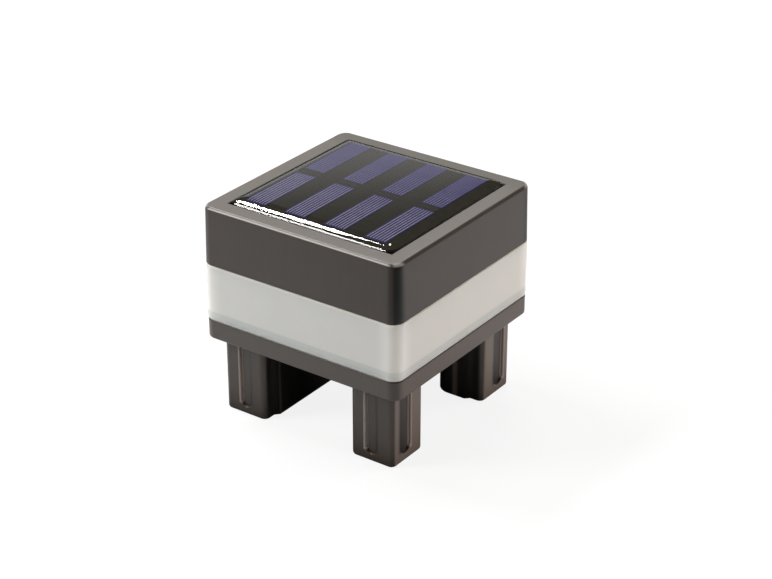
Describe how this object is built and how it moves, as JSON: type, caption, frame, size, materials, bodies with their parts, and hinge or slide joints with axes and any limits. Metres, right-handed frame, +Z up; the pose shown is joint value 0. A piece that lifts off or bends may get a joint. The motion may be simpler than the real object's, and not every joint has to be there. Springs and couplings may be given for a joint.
{
  "type": "solar fence post light",
  "caption": "Square solar light for a hollow fence post: dark cap with a domed solar panel, frosted band, and a base with fluted legs and a battery box.",
  "frame": {"origin": "centre of the underside, at the bottom of the legs", "axes": "+Z up; +X from the battery box side to the side with the two free legs; +Y across, along the battery"},
  "size_m": [0.0602, 0.0602, 0.0595],
  "materials": {
    "dark_plastic": "dark warm grey moulded plastic, satin, very fine speckle",
    "frosted_plastic": "milky frosted translucent plastic, satin",
    "clear_resin": "clear glossy cast resin",
    "panel_board": "olive dark grey circuit laminate",
    "silicon": "dark violet blue solar cell with fine silver fingers",
    "tinned_ribbon": "dull tinned ribbon, dark",
    "foam_tape": "black foam tape",
    "black_rubber": "black sealing rubber, matte",
    "white_plastic": "white moulded plastic, semi gloss",
    "screw_steel": "zinc plated steel",
    "green_board": "green circuit laminate",
    "lamp_resin": "clear lamp resin with a yellow phosphor tint",
    "tinned_metal": "tinned metal",
    "chip_plastic": "black moulding compound",
    "ferrite": "dark grey ferrite",
    "copper_wire": "enamelled copper winding",
    "capacitor_sleeve": "dark blue shrink sleeve",
    "resistor_body": "black film resistor",
    "switch_metal": "plated steel",
    "knob_plastic": "pale grey nylon",
    "battery_steel": "nickel plated steel",
    "battery_core": "wound electrodes",
    "battery_sleeve": "plain green shrink sleeve",
    "nickel_plate": "nickel plated spring steel",
    "red_insulation": "red lead insulation",
    "black_insulation": "black lead insulation",
    "white_insulation": "white lead insulation"
  },
  "bodies": {
    "housing": {"cap_shell": "dark_plastic", "panel_tape": "foam_tape", "solar_board": "panel_board", "solar_cells": "silicon", "cell_ribbons": "tinned_ribbon", "panel_resin": "clear_resin", "cap_gasket": "black_rubber", "light_band": "frosted_plastic", "band_gasket": "black_rubber", "base_housing": "dark_plastic", "reflector": "white_plastic", "cap_screws": "screw_steel", "base_screws": "screw_steel", "circuit_board": "green_board", "board_screws": "screw_steel", "leds": "lamp_resin", "led_legs": "tinned_metal", "controller_chip": "chip_plastic", "inductor_core": "ferrite", "inductor_coil": "copper_wire", "capacitor": "capacitor_sleeve", "resistors": "resistor_body", "switch_case": "switch_metal", "switch_pins": "tinned_metal", "switch_seal": "black_rubber", "battery_can": "battery_steel", "battery_core": "battery_core", "battery_sleeve": "battery_sleeve", "battery_button": "battery_steel", "battery_spring": "nickel_plate", "positive_contact": "nickel_plate", "negative_contact": "nickel_plate", "panel_wire_red": "red_insulation", "panel_wire_black": "black_insulation", "battery_wire_red": "red_insulation", "battery_wire_black": "black_insulation", "switch_wire": "white_insulation"},
    "knob": {"switch_knob": "knob_plastic"},
    "cover": {"battery_cover": "dark_plastic", "cover_seal": "black_rubber", "cover_screw": "screw_steel"}
  },
  "joints": [
    {"name": "switch_slide", "type": "slide", "parent": "housing", "child": "knob", "axis": [0, 1, 0], "range_m": [0, 0.0024]},
    {"name": "battery_cover_lift", "type": "slide", "parent": "housing", "child": "cover", "axis": [-1, 0, 0], "range_m": [0, 0.025]}
  ]
}
